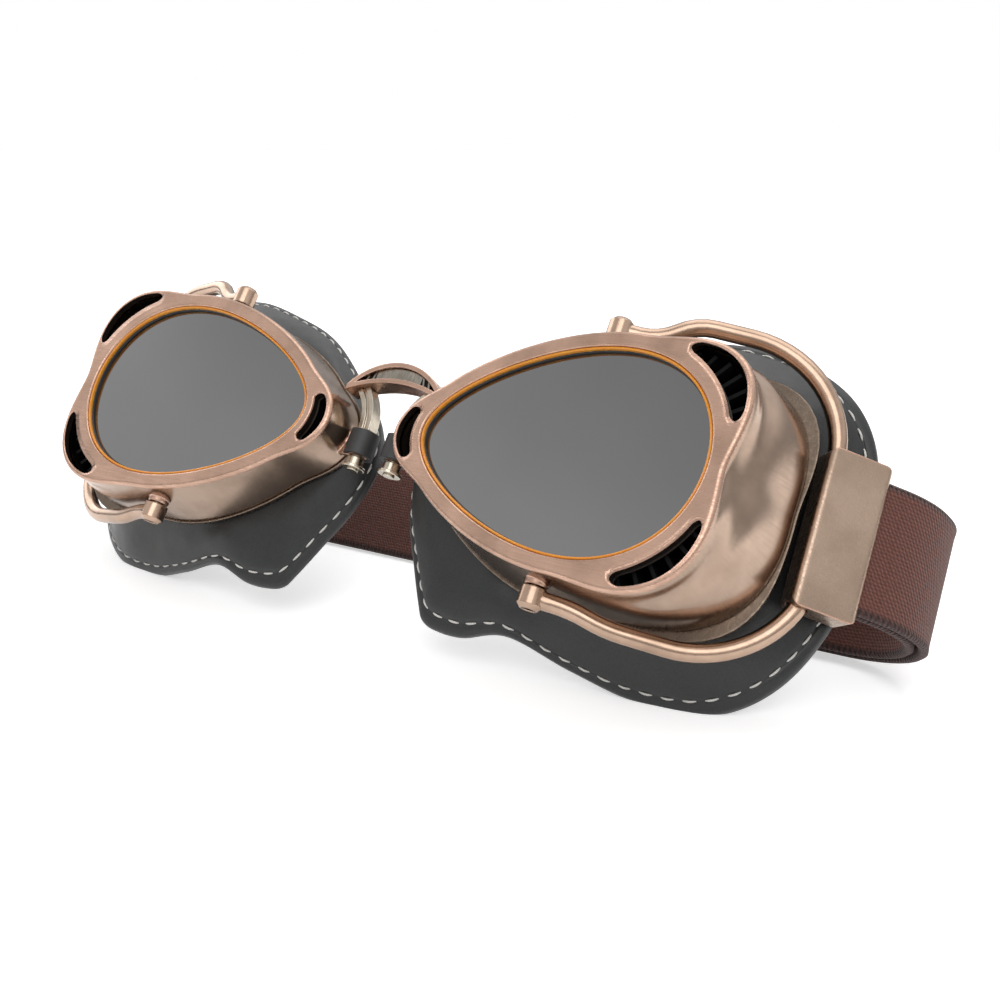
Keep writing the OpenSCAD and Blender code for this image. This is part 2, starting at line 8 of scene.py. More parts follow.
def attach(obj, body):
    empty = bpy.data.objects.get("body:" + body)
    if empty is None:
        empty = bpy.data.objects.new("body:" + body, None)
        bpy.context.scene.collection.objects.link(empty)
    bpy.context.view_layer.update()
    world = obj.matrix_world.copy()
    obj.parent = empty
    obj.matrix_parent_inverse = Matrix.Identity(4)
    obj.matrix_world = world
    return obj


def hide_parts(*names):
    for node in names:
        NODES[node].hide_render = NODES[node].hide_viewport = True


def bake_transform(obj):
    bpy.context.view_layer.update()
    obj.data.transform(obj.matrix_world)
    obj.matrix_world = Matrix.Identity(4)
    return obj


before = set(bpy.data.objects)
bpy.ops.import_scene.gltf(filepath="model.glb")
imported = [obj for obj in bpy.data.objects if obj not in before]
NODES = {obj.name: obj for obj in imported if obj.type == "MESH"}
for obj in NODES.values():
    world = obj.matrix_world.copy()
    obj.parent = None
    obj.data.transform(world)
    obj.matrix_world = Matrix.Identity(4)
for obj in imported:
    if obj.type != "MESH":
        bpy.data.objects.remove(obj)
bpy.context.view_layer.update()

MM = 0.001

# Sizes that the soft pieces share with the solid model, in mm and degrees
LEAN = 37.0
TOE_IN = 3.2
LENS_A, LENS_B, LENS_TAPER, LENS_X, LENS_Z = 31.4, 20.9, 0.27, 47.8, 0.2
RIM_W = 3.4
UPPER_LOBE, LOWER_LOBE, NOSE_LOBE = 5.9, 5.2, 3.8
DEPTH_NOSE, RAKE = 10.6, 0.108
WALL_FLARE, TEMPLE_FLARE, CHIN_FLARE = 1.0, 6.2, 1.5
FLANGE_T, SEAT = 1.0, 0.1
HINGE_X, HINGE_Y, HINGE_BACK = 4.9, 9.0, 11.0
LUG_X, LUG_Y = LENS_X + 2.5, 6.0
BAIL_ROOM, BAIL_ANGLE, CLASP_ANGLE = 8.8, 22.5, 38.0
STRAP_W, STRAP_T, STRAP_GAP, STRAP_LEAD, STRAP_BEND, STRAP_Z = 26.0, 1.6, 1.1, 14.0, 16.9, -0.8
TAIL_X = 58.0
PIN_U = 5.0
LEATHER_T, LEATHER_CROWN, FOAM_T = 1.8, 1.3, 7.0
STAND_Y = 20.19


def sin(a):
    return math.sin(math.radians(a))


def cos(a):
    return math.cos(math.radians(a))


def bump(t, c, w):
    """A smooth hump of height 1 at angle c that ends w degrees to each side."""
    d = abs((t - c + 900) % 360 - 180)
    return (1 + cos(180 * d / w)) / 2 if d < w else 0.0


def lerp(a, b, s):
    return a + (b - a) * s


def out(t, d):
    """X and Z of the point at angle t, d mm outside the lens opening."""
    k = 1 + LENS_TAPER * cos(t)
    u = LENS_B * (cos(t) * k - LENS_TAPER * sin(t) ** 2)
    v = LENS_A * sin(t)
    n = math.hypot(u, v)
    return (LENS_X + LENS_A * cos(t) + d * u / n, LENS_Z + LENS_B * sin(t) * k + d * v / n)


def plate_out(t):
    """Width of the face plate at angle t round the lens: a rim with three lobes."""
    return (RIM_W + UPPER_LOBE * bump(t, 33, 36) + LOWER_LOBE * bump(t, -39, 40)
            + NOSE_LOBE * bump(t, 183, 36))


def back_out(t):
    """How far the cup's back rim stands outside the lens opening."""
    return plate_out(t) + WALL_FLARE + CHIN_FLARE * bump(t, -95, 55) + TEMPLE_FLARE * bump(t, -3, 56)


def back_depth(x):
    """Depth of the cup's raked back at x."""
    return DEPTH_NOSE + RAKE * (x - HINGE_X)


def to_body(p):
    """A point of an eye cup, turned by the toe-in about the nose hinge."""
    x, y = p[0] - HINGE_X, p[1] - HINGE_Y
    return Vector((HINGE_X + x * cos(TOE_IN) + y * sin(TOE_IN),
                   HINGE_BACK - x * sin(TOE_IN) + y * cos(TOE_IN), p[2]))


# The strap's line, seen from above
HALF_STRAP = STRAP_GAP / 2 + STRAP_T
LUG = to_body((LUG_X, LUG_Y, 0))
REACH = LENS_A + TEMPLE_FLARE + BAIL_ROOM
SWING = BAIL_ANGLE - TOE_IN
PIVOT = Vector((LUG.x + REACH * cos(SWING), LUG.y + REACH * sin(SWING)))
ALONG = Vector((cos(CLASP_ANGLE), sin(CLASP_ANGLE)))
PIN = PIVOT + PIN_U * ALONG
BEND_START = PIVOT + STRAP_LEAD * ALONG
BEND_MID = BEND_START + STRAP_BEND * Vector((-ALONG.y, ALONG.x))
REAR_Y = BEND_MID.y + STRAP_BEND
FLOOR_Z = (REAR_Y + HALF_STRAP) * sin(LEAN) + (STRAP_W / 2 - STRAP_Z) * cos(LEAN)


def stand(p, side=1):
    """A point of the goggles, in mm, in the row's frame."""
    return Vector((side * p[0], p[1] * cos(LEAN) + p[2] * sin(LEAN) - STAND_Y,
                   -p[1] * sin(LEAN) + p[2] * cos(LEAN) + FLOOR_Z)) * MM


def eye_point(p, side, floor=0.0):
    """A point of an eye cup in the row's frame, kept above the table."""
    q = stand(to_body(p), side)
    q.z = max(q.z, floor * MM)
    return q


# Materials

def new_material(name):
    m = bpy.data.materials.new(name)
    m.use_nodes = True
    nt = m.node_tree
    nt.nodes.clear()
    outn = nt.nodes.new("ShaderNodeOutputMaterial")
    bs = nt.nodes.new("ShaderNodeBsdfPrincipled")
    nt.links.new(bs.outputs[0], outn.inputs[0])
    return m, nt, bs


def node(nt, kind, **kw):
    n = nt.nodes.new(kind)
    for k, v in kw.items():
        if k in n.inputs:
            n.inputs[k].default_value = v
        else:
            setattr(n, k, v)
    return n


def coords(nt, scale=(1, 1, 1), uv=False):
    tc = nt.nodes.new("ShaderNodeTexCoord")
    mp = nt.nodes.new("ShaderNodeMapping")
    mp.inputs["Scale"].default_value = scale
    nt.links.new(tc.outputs["UV" if uv else "Object"], mp.inputs[0])
    return mp.outputs[0]


def noise_tex(nt, vec, scale, detail=3.0, rough=0.55):
    n = node(nt, "ShaderNodeTexNoise", Scale=scale, Detail=detail, Roughness=rough)
    nt.links.new(vec, n.inputs["Vector"])
    return n.outputs["Fac"]


def ramp(nt, fac, stops):
    """A colour ramp with stops of (place, colour)."""
    r = nt.nodes.new("ShaderNodeValToRGB")
    while len(r.color_ramp.elements) < len(stops):
        r.color_ramp.elements.new(0.5)
    for e, (p, c) in zip(r.color_ramp.elements, stops):
        e.position = p
        e.color = tuple(c) + (1,) if len(c) == 3 else c
    nt.links.new(fac, r.inputs[0])
    return r.outputs[0]


def grey(v):
    return (v, v, v)


def srgb(r, g, b):
    return tuple(((c / 255 + 0.055) / 1.055) ** 2.4 if c > 10 else c / 255 / 12.92 for c in (r, g, b))


def math_node(nt, op, a, b, clamp=False):
    n = node(nt, "ShaderNodeMath", operation=op, use_clamp=clamp)
    for i, v in enumerate((a, b)):
        if isinstance(v, (int, float)):
            n.inputs[i].default_value = v
        else:
            nt.links.new(v, n.inputs[i])
    return n.outputs[0]


def mix_colour(nt, fac, a, b):
    n = node(nt, "ShaderNodeMix", data_type="RGBA")
    for key, v in ((0, fac), (6, a), (7, b)):
        if isinstance(v, (int, float)):
            n.inputs[key].default_value = v
        elif isinstance(v, tuple):
            n.inputs[key].default_value = v + (1,)
        else:
            nt.links.new(v, n.inputs[key])
    return n.outputs[2]


def edge_mask(nt, radius, power):
    """1 on sharp edges, 0 on flats, from how far the rounded normal turns from the true one."""
    bev = node(nt, "ShaderNodeBevel", samples=6)
    bev.inputs["Radius"].default_value = radius
    geo = nt.nodes.new("ShaderNodeNewGeometry")
    dot = nt.nodes.new("ShaderNodeVectorMath")
    dot.operation = "DOT_PRODUCT"
    nt.links.new(bev.outputs[0], dot.inputs[0])
    nt.links.new(geo.outputs["Normal"], dot.inputs[1])
    inv = math_node(nt, "SUBTRACT", 1.0, dot.outputs["Value"])
    return math_node(nt, "MULTIPLY", inv, power, True)


def set_bump(nt, bs, height, strength, dist, bevel=0.0):
    b = node(nt, "ShaderNodeBump", Strength=strength, Distance=dist)
    nt.links.new(height, b.inputs["Height"])
    if bevel:
        bev = node(nt, "ShaderNodeBevel", samples=6)
        bev.inputs["Radius"].default_value = bevel
        nt.links.new(bev.outputs[0], b.inputs["Normal"])
    nt.links.new(b.outputs[0], bs.inputs["Normal"])


FINE_STREAK, UV_STREAK = 900, 220
WEAR_AND_HIGHLIGHT_REACH = 0.0007


def metal(name, base, dark, light, rough, streak_dir, wear_and_highlight=3.0, grain=0.35, by_uv=False):
    """A brushed metal: darker in its clouds and scratches, lighter on its edges, partly from rubbing and
    partly as a painted highlight.
    """
    m, nt, bs = new_material(name)
    streak = noise_tex(nt, coords(nt, streak_dir, by_uv), UV_STREAK if by_uv else FINE_STREAK, 4, 0.6)
    streak = ramp(nt, streak, [(0.36, grey(0)), (0.64, grey(1))])
    cloud = noise_tex(nt, coords(nt), 90, 3, 0.6)
    base_mix = mix_colour(nt, ramp(nt, cloud, [(0.4, grey(0)), (0.75, grey(0.7))]), base, dark)
    # Edge colour, patchy with the clouds: partly rubbing, partly a painted highlight on the rounded edges.
    rubbed_and_highlit = ramp(nt, cloud, [(0.2, grey(1)), (0.8, grey(0.6))])
    worn_and_highlit = math_node(nt, "MULTIPLY", edge_mask(nt, WEAR_AND_HIGHLIGHT_REACH, wear_and_highlight), rubbed_and_highlit)
    colour = mix_colour(nt, worn_and_highlit, base_mix, light)
    streaked = mix_colour(nt, math_node(nt, "MULTIPLY", streak, grain), colour, dark)
    nt.links.new(streaked, bs.inputs["Base Color"])
    bs.inputs["Metallic"].default_value = 1.0
    spread = [(0.1, grey(rough - 0.25 * grain)), (0.9, grey(rough + 0.3 * grain))]
    nt.links.new(ramp(nt, streak, spread), bs.inputs["Roughness"])
    set_bump(nt, bs, streak, 0.4 * grain, 0.00006, 0.0004)
    return m


def shade_bar_ends(m, x_shaded, stripe):
    """Paints shade on a metal: darkens it past x_shaded on both sides, but for thin upright stripes."""
    nt, bs = m.node_tree, m.node_tree.nodes["Principled BSDF"]
    split = nt.nodes.new("ShaderNodeSeparateXYZ")
    nt.links.new(coords(nt), split.inputs[0])
    x = math_node(nt, "ABSOLUTE", split.outputs["X"], 0.0)
    past = math_node(nt, "GREATER_THAN", x, x_shaded)
    lean = math_node(nt, "MULTIPLY", split.outputs["Z"], 0.35)
    wave = math_node(nt, "FRACT", math_node(nt, "DIVIDE", math_node(nt, "ADD", x, lean), stripe), 0.0)
    gap = math_node(nt, "GREATER_THAN", wave, 0.3)
    old = bs.inputs["Base Color"].links[0].from_socket
    # Painted shade: near black over the bar's ends, left bright only in thin stripes.
    dark = mix_colour(nt, math_node(nt, "MULTIPLY", past, gap), old, (0.012, 0.011, 0.01))
    nt.links.new(dark, bs.inputs["Base Color"])


def simple(name, colour, dark, rough, scale, bumpy, gloss=0.5):
    m, nt, bs = new_material(name)
    bs.inputs["Specular IOR Level"].default_value = gloss
    f = noise_tex(nt, coords(nt), scale, 4, 0.6)
    nt.links.new(mix_colour(nt, f, colour, dark), bs.inputs["Base Color"])
    nt.links.new(ramp(nt, f, [(0.2, grey(rough - 0.06)), (0.8, grey(rough + 0.08))]), bs.inputs["Roughness"])
    set_bump(nt, bs, f, bumpy, 0.0002, 0.0003)
    return m


# The third colour of each metal is its edge colour: partly rubbing, partly a painted highlight.
copper = metal("copper_brushed", (0.56, 0.365, 0.275), (0.30, 0.19, 0.14), (0.80, 0.50, 0.39), 0.3,
               (0.1, 1.2, 3.4), grain=0.3)
copper_wall = metal("copper_wall", (0.46, 0.34, 0.265), (0.27, 0.19, 0.14), (0.72, 0.52, 0.42), 0.22,
                    (18, 1, 1), grain=0.1, by_uv=True)
clasp_copper = metal("copper_clasp", (0.44, 0.325, 0.25), (0.3, 0.215, 0.16), (0.74, 0.42, 0.31), 0.33,
                     (3, 3, 0.25), wear_and_highlight=8.0, grain=0.3)
nickel = metal("nickel_antique", (0.56, 0.5, 0.41), (0.2, 0.16, 0.12), (0.8, 0.74, 0.64), 0.22,
               (1, 1, 0.4), wear_and_highlight=3.0, grain=0.12)
bail_copper = metal("copper_bail", (0.48, 0.335, 0.25), (0.27, 0.19, 0.135), (0.66, 0.5, 0.39), 0.22,
                    (0.4, 1, 1), wear_and_highlight=1.0, grain=0.1)
champagne = metal("champagne_plate", (0.17, 0.13, 0.10), (0.09, 0.065, 0.05), (0.42, 0.33, 0.26), 0.28,
                  (1, 1, 1))
bar_nickel = metal("nickel_bar", (0.42, 0.385, 0.33), (0.12, 0.105, 0.085), (0.6, 0.55, 0.46), 0.2,
                   (3, 1, 0.3), grain=0.5)
# The bar's ends carry painted shade.
shade_bar_ends(bar_nickel, 0.0060, 0.0014)
black = simple("black_moulding", (0.003, 0.003, 0.003), (0.006, 0.006, 0.006), 0.62, 700, 0.15, gloss=0.15)
# Painted shade: the inside of each cup and the depths of its vents are near black, standing for the shade in
# them.
painted_recess_shade = simple("cup_inside", (0.012, 0.008, 0.006), (0.03, 0.02, 0.014), 0.42, 300, 0.1)
seal_black = simple("seal_black", (0.006, 0.006, 0.006), (0.014, 0.014, 0.014), 0.35, 500, 0.1)
rubber = simple("black_rubber", (0.02, 0.02, 0.02), (0.04, 0.04, 0.04), 0.5, 900, 0.2)


def lens_material():
    m, nt, bs = new_material("lens_mirror")
    f = noise_tex(nt, coords(nt), 30, 2)
    nt.links.new(mix_colour(nt, f, (0.17, 0.17, 0.172), (0.2, 0.2, 0.202)), bs.inputs["Base Color"])
    bs.inputs["Metallic"].default_value = 1.0
    nt.links.new(ramp(nt, f, [(0.2, grey(0.06)), (0.8, grey(0.09))]), bs.inputs["Roughness"])
    bs.inputs["Coat Weight"].default_value = 0.6
    bs.inputs["Coat Roughness"].default_value = 0.03
    return m


def amber_material():
    m, nt, bs = new_material("amber_rubber")
    f = noise_tex(nt, coords(nt), 400, 3)
    nt.links.new(mix_colour(nt, f, (0.9, 0.33, 0.006), (0.72, 0.24, 0.003)), bs.inputs["Base Color"])
    nt.links.new(ramp(nt, f, [(0.2, grey(0.22)), (0.8, grey(0.34))]), bs.inputs["Roughness"])
    bs.inputs["Subsurface Weight"].default_value = 0.25
    bs.inputs["Subsurface Scale"].default_value = 0.002
    bs.inputs["Coat Weight"].default_value = 0.4
    return m


def leather_material():
    m, nt, bs = new_material("leather_black")
    vec = coords(nt)
    cells = node(nt, "ShaderNodeTexVoronoi", Scale=1500.0, feature="DISTANCE_TO_EDGE")
    nt.links.new(vec, cells.inputs["Vector"])
    pores = ramp(nt, cells.outputs["Distance"], [(0.0, grey(0)), (0.16, grey(1))])
    cloud = noise_tex(nt, vec, 160, 4, 0.6)
    crease = noise_tex(nt, coords(nt, (1, 0.35, 1)), 45, 2, 0.5)
    height = math_node(nt, "ADD", math_node(nt, "MULTIPLY", pores, 0.35), cloud)
    height = math_node(nt, "ADD", math_node(nt, "MULTIPLY", crease, 2.5), height)
    colour = mix_colour(nt, cloud, (0.010, 0.011, 0.011), (0.021, 0.022, 0.022))
    nt.links.new(mix_colour(nt, pores, (0.010, 0.011, 0.011), colour), bs.inputs["Base Color"])
    nt.links.new(ramp(nt, cloud, [(0.25, grey(0.33)), (0.75, grey(0.48))]), bs.inputs["Roughness"])
    bs.inputs["Sheen Weight"].default_value = 0.06
    bs.inputs["Sheen Roughness"].default_value = 0.4
    set_bump(nt, bs, height, 0.22, 0.0002)
    return m


def foam_material():
    m, nt, bs = new_material("face_foam")
    vec = coords(nt)
    f = noise_tex(nt, vec, 2600, 4, 0.7)
    c = noise_tex(nt, vec, 240, 3)
    pile = mix_colour(nt, c, grey(0.03), grey(0.05))
    nt.links.new(mix_colour(nt, f, grey(0.012), pile), bs.inputs["Base Color"])
    nt.links.new(ramp(nt, f, [(0.2, grey(0.85)), (0.8, grey(0.98))]), bs.inputs["Roughness"])
    bs.inputs["Sheen Weight"].default_value = 0.3
    set_bump(nt, bs, f, 0.8, 0.0004)
    return m


def thread_material():
    m, nt, bs = new_material("white_thread")
    w = node(nt, "ShaderNodeTexWave", Scale=900.0, Distortion=1.0, bands_direction="DIAGONAL")
    nt.links.new(coords(nt), w.inputs["Vector"])
    twist = w.outputs["Fac"]
    nt.links.new(mix_colour(nt, twist, (0.62, 0.60, 0.56), (0.84, 0.83, 0.8)), bs.inputs["Base Color"])
    nt.links.new(ramp(nt, twist, [(0.0, grey(0.6)), (1.0, grey(0.8))]), bs.inputs["Roughness"])
    set_bump(nt, bs, twist, 0.5, 0.0001)
    return m


def strap_material():
    """Knitted elastic. U runs along the strap and V across it, both in metres."""
    m, nt, bs = new_material("elastic_knit")
    uv = coords(nt, uv=True)
    sep = nt.nodes.new("ShaderNodeSeparateXYZ")
    nt.links.new(uv, sep.inputs[0])
    u, v = sep.outputs[0], sep.outputs[1]

    def wave(x, pitch):
        a = math_node(nt, "MULTIPLY", x, 2 * math.pi / pitch)
        half = math_node(nt, "MULTIPLY_ADD", math_node(nt, "SINE", a, 0), 0.5)
        half.node.inputs[2].default_value = 0.5
        return half

    fuzz = noise_tex(nt, uv, 2600, 4, 0.75)
    diag = math_node(nt, "ADD", u, math_node(nt, "MULTIPLY", v, 0.7))
    wobble = math_node(nt, "MULTIPLY", noise_tex(nt, uv, 900, 2), 0.0006)
    twill = wave(math_node(nt, "ADD", diag, wobble), 0.00085)
    cord = wave(math_node(nt, "ADD", v, wobble), 0.0007)
    row = wave(u, 0.0012)
    knit = math_node(nt, "ADD", math_node(nt, "MULTIPLY", twill, 0.5), math_node(nt, "MULTIPLY", cord, 0.5))
    edge_d = math_node(nt, "ABSOLUTE", v, 0)
    edge = ramp(nt, math_node(nt, "MULTIPLY", edge_d, 1 / 0.013), [(0.88, grey(0)), (0.93, grey(1))])
    face = mix_colour(nt, knit, srgb(84, 44, 35), srgb(136, 82, 68))
    face = mix_colour(nt, ramp(nt, fuzz, [(0.35, grey(0)), (0.7, grey(0.75))]), face, srgb(70, 38, 32))
    rim = mix_colour(nt, row, srgb(44, 28, 26), srgb(84, 54, 48))
    nt.links.new(mix_colour(nt, edge, face, rim), bs.inputs["Base Color"])
    nt.links.new(ramp(nt, fuzz, [(0.2, grey(0.82)), (0.8, grey(0.96))]), bs.inputs["Roughness"])
    bs.inputs["Sheen Weight"].default_value = 0.2
    bs.inputs["Sheen Roughness"].default_value = 0.5
    h = math_node(nt, "ADD", knit, math_node(nt, "MULTIPLY", fuzz, 0.5))
    set_bump(nt, bs, h, 0.7, 0.00035)
    return m


lens_mat = lens_material()
amber = amber_material()
leather = leather_material()
foam_mat = foam_material()
thread = thread_material()
elastic = strap_material()

CAD_LOOK = {"frame": copper, "lens": lens_mat, "gasket": amber, "baffle": black, "flange": champagne,
            "sleeve": rubber, "lug_pins": nickel, "bail": bail_copper, "clasp": clasp_copper,
            "strap_pin": nickel, "leg": nickel, "clip": nickel, "bridge_arch": copper,
            "bridge_bar": bar_nickel, "bridge_liner": black, "pad": leather, "foam": foam_mat,
            "strap": elastic}
for name, obj in NODES.items():
    key = name.split("_", 1)[1] if name.split("_")[0] in ("left", "right") else name
    obj.data.materials.clear()
    obj.data.materials.append(CAD_LOOK[key])
    obj.data.polygons.foreach_set("use_smooth", [True] * len(obj.data.polygons))
    weld = obj.modifiers.new("weld", "WELD")
    weld.merge_threshold = 2e-6
    if key == "clasp":
        soft = obj.modifiers.new("soft", "BEVEL")
        soft.width = 0.0007
        soft.segments = 3
        soft.limit_method = "ANGLE"
        soft.angle_limit = math.radians(40)
    split = obj.modifiers.new("split", "EDGE_SPLIT")
    split.split_angle = math.radians(28)
    split.use_edge_sharp = False


# Soft pieces

def finish_mesh(name, verts, faces, mat, uvs=None):
    me = bpy.data.meshes.new(name)
    me.from_pydata([tuple(v) for v in verts], [], faces)
    if uvs:
        layer = me.uv_layers.new(name="UVMap")
        for poly in me.polygons:
            for li in poly.loop_indices:
                layer.data[li].uv = uvs[me.loops[li].vertex_index]
    me.update()
    me.polygons.foreach_set("use_smooth", [True] * len(me.polygons))
    ob = bpy.data.objects.new(name, me)
    bpy.context.scene.collection.objects.link(ob)
    me.materials.append(mat)
    return ob


def ring_faces(m, n, flip):
    """Faces of m closed rings of n points, joined last to first."""
    f = []
    for j in range(m):
        for i in range(n):
            a, b = j * n + i, j * n + (i + 1) % n
            c, d = ((j + 1) % m) * n + (i + 1) % n, ((j + 1) % m) * n + i
            f.append((a, d, c, b) if flip else (a, b, c, d))
    return f


# The pad's sewn edge: X, Z, depth, and the angle round the lens that it is drawn from
EDGE = [(98.8, 2, 34.2, 0), (97.6, 18, 33.6, 22), (91, 29.5, 31.8, 42), (79, 36, 29.3, 62),
        (64, 37.5, 26.5, 82), (48, 33.5, 24, 105), (33, 27.5, 21.5, 130), (19, 16.5, 19.5, 152),
        (8.5, 6, 18, 170), (5.4, -3, 17.6, 185), (7.4, -14, 17.8, 200), (12.6, -24.5, 18.2, 213),
        (16.8, -32.2, 18.6, 221.5), (18.8, -35, 18.8, 225.5), (22.4, -36.2, 19, 230.5),
        (29, -36.3, 19, 239), (39, -34, 19, 249),
        (52, -36.8, 24.5, 264), (66, -38.8, 30, 283), (80, -37, 32.4, 303),
        (90.5, -28.5, 33.6, 322), (97, -14, 34.3, 341)]
AROUND = 14


def edge_row(k):
    n = len(EDGE)
    e = list(EDGE[k % n])
    e[3] += 360 * (k // n)
    return e


def sewn_edge():
    """The sewn edge as a smooth closed line through the points above."""
    pts = []
    for k in range(len(EDGE)):
        a, b, c, d = (edge_row(k + j) for j in (-1, 0, 1, 2))
        for j in range(AROUND):
            s = j / AROUND
            pts.append([(2 * b[i] + (c[i] - a[i]) * s + (2 * a[i] - 5 * b[i] + 4 * c[i] - d[i]) * s * s
                         + (3 * b[i] - a[i] - 3 * c[i] + d[i]) * s ** 3) / 2 for i in range(4)])
    return pts


SEWN = sewn_edge()
ROOT_IN = 2.9


def root_out(t):
    """Where the leather comes out from under the cup, further in at the temple."""
    return back_out(t) - 0.6 - 4.5 * bump(t, 0, 62)


def swell(t, s):
    """Crown of the leather between its root, s = 0, and its edge, s = 1. It is hollow at the temple."""
    return (LEATHER_CROWN - 4.3 * bump(t, 0, 62)) * sin(180 * min(max(s, 0), 1))


def behind(t, d):
    """A point on the back face of the plate behind the cup."""
    p = out(t, d)
    return (p[0], back_depth(p[0]) + FLANGE_T + SEAT, p[1])


def soft_point(e, inner, s, lift, k=1.0):
    """A point of the leather s of the way to edge point e, lifted, with k of the crown."""
    t = e[3]
    a = behind(t, root_out(t) - inner)
    b = (e[0], e[2], e[1])
    return (lerp(a[0], b[0], s), lerp(a[1], b[1], s) - lift - k * swell(t, s), lerp(a[2], b[2], s))


def ripple(p, size, scale, seed):
    """Slight hand-made unevenness at p."""
    return size * noise.noise(Vector(p) * scale + Vector((seed, seed * 2, 0)))


def soften(ob):
    sub = ob.modifiers.new("smooth", "SUBSURF")
    sub.levels = sub.render_levels = 1


def pad(side, name):
    """The leather, with the groove that its stitches lie in and a rolled edge."""
    # Each row: distance in from the root, share of the way out, lift and share of the crown
    prof = [(ROOT_IN, 0, 0, 0), (1.2, 0, 0, 0), (0, 0, 0.0, 0), (0, 0.06, 0, 1)]
    prof += [(0, s, 0, 1) for s in (0.12, 0.2, 0.28, 0.36, 0.44, 0.52, 0.6, 0.68, 0.76)]
    prof += [(0, 0.82, 0.0, 1), (0, 0.845, -0.2, 1), (0, 0.86, -0.36, 1), (0, 0.875, -0.2, 1),
             (0, 0.9, 0.05, 1), (0, 0.93, 0.12, 1), (0, 0.955, 0.16, 1), (0, 0.98, 0.18, 1), (0, 1.0, 0.0, 1),
             (0, 1.008, -0.4, 1), (0, 1.01, -0.9, 1), (0, 1.008, -1.4, 1), (0, 0.99, -1.75, 1)]
    prof += [(0, s, -LEATHER_T, 1) for s in (0.9, 0.75, 0.6, 0.45, 0.3, 0.15)]
    prof += [(0.4, 0.04, -LEATHER_T, 0.5), (ROOT_IN, 0, -LEATHER_T, 0)]
    verts = []
    for inner, s, lift, k in prof:
        for e in SEWN:
            p = soft_point(e, inner, s, lift, k)
            if 0.05 < s < 0.74:
                w = math.sin(math.pi * s / 0.74)
                d = w * (ripple(p, 0.35, 0.09, 3) + ripple(p, 0.12, 0.3, 7))
                p = (p[0], p[1] - d, p[2])
            verts.append(eye_point(p, side))
    ob = finish_mesh(name, verts, ring_faces(len(prof), len(SEWN), side > 0), leather)
    soften(ob)
    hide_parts(name.replace("_leather", "_pad"))
    return ob


def capsule(verts, faces, a, b, up, r):
    """A short stitch from a to b, pulled down at both ends."""
    ax = (b - a)
    side = ax.cross(up).normalized()
    base = len(verts)
    n, m = 8, 7
    for j in range(m):
        u = j / (m - 1)
        w = math.sin(math.pi * (0.08 + 0.84 * u)) ** 0.5
        c = a.lerp(b, u) + up * (r * 0.9 * math.sin(math.pi * u) - 0.25 * r)
        for i in range(n):
            t = 2 * math.pi * i / n
            verts.append(c + side * (r * w * math.cos(t)) + up * (r * 0.75 * w * math.sin(t)))
    for j in range(m - 1):
        for i in range(n):
            faces.append((base + j * n + i, base + j * n + (i + 1) % n,
                          base + (j + 1) * n + (i + 1) % n, base + (j + 1) * n + i))
    faces.append(tuple(base + i for i in reversed(range(n))))
    faces.append(tuple(base + (m - 1) * n + i for i in range(n)))


STITCH_S, STITCH_PITCH, STITCH_L, STITCH_R = 0.86, 4.3, 2.6, 0.26


def stitches(side, name):
    rnd = random.Random(5)
    line = [Vector(soft_point(e, 0, STITCH_S, -0.28)) for e in SEWN]
    inner = [Vector(soft_point(e, 0, STITCH_S - 0.06, 0)) for e in SEWN]
    line.append(line[0])
    inner.append(inner[0])
    dist = [0.0]
    for a, b in zip(line, line[1:]):
        dist.append(dist[-1] + (b - a).length)
    count = round(dist[-1] / STITCH_PITCH)
    verts, faces = [], []

    def at(d):
        d %= dist[-1]
        k = max(i for i in range(len(dist) - 1) if dist[i] <= d)
        s = (d - dist[k]) / max(dist[k + 1] - dist[k], 1e-6)
        return line[k].lerp(line[k + 1], s), inner[k].lerp(inner[k + 1], s)

    for k in range(count):
        d = k * dist[-1] / count
        half = STITCH_L / 2 * (1 + 0.08 * (rnd.random() - 0.5))
        a, ia = at(d - half)
        b, ib = at(d + half)
        q = [eye_point(p, side, 0.3) for p in (a, b, (a + b) / 2, (ia + ib) / 2)]
        across = q[3] - q[2]
        up = (q[1] - q[0]).cross(across).normalized()
        front = stand((0, -1, 0)) - stand((0, 0, 0))
        if up.dot(front) < 0:
            up = -up
        tilt = across.normalized() * (0.12 * MM * (rnd.random() - 0.5))
        capsule(verts, faces, q[0] + tilt, q[1] - tilt, up, STITCH_R * MM)
    return finish_mesh(name, verts, faces, thread)


def foam(side, name):
    h = LEATHER_T + 0.3
    # Each row: share of the way out to the leather's edge, and how far back in foam thicknesses
    prof = [(0.12, 0), (0.25, 0), (0.4, 0), (0.55, 0), (0.7, 0), (0.78, 0.25), (0.79, 0.5), (0.74, 0.72),
            (0.66, 0.87), (0.55, 0.96), (0.42, 1), (0.3, 0.97), (0.18, 0.87), (0.08, 0.68), (0.03, 0.4),
            (0.05, 0.15)]
    verts = []
    for s, back in prof:
        for e in SEWN:
            p = soft_point(e, ROOT_IN, s, -h - back * FOAM_T)
            d = ripple(p, 0.3, 0.12, 11)
            verts.append(eye_point((p[0], p[1] + d, p[2]), side, 0.2))
    ob = finish_mesh(name, verts, ring_faces(len(prof), len(SEWN), side > 0), foam_mat)
    soften(ob)
    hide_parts(name.replace("_cushion", "_foam"))
    return ob


# Cups: face plate with vents, rolled lip and waisted wall, and the seal round the lens

PLATE_T, GASKET_T, PLATE_R, WALL_IN = 1.8, 0.5, 1.0, 1.15
SLOT_RAIL, SLOT_R = 1.25, 0.32
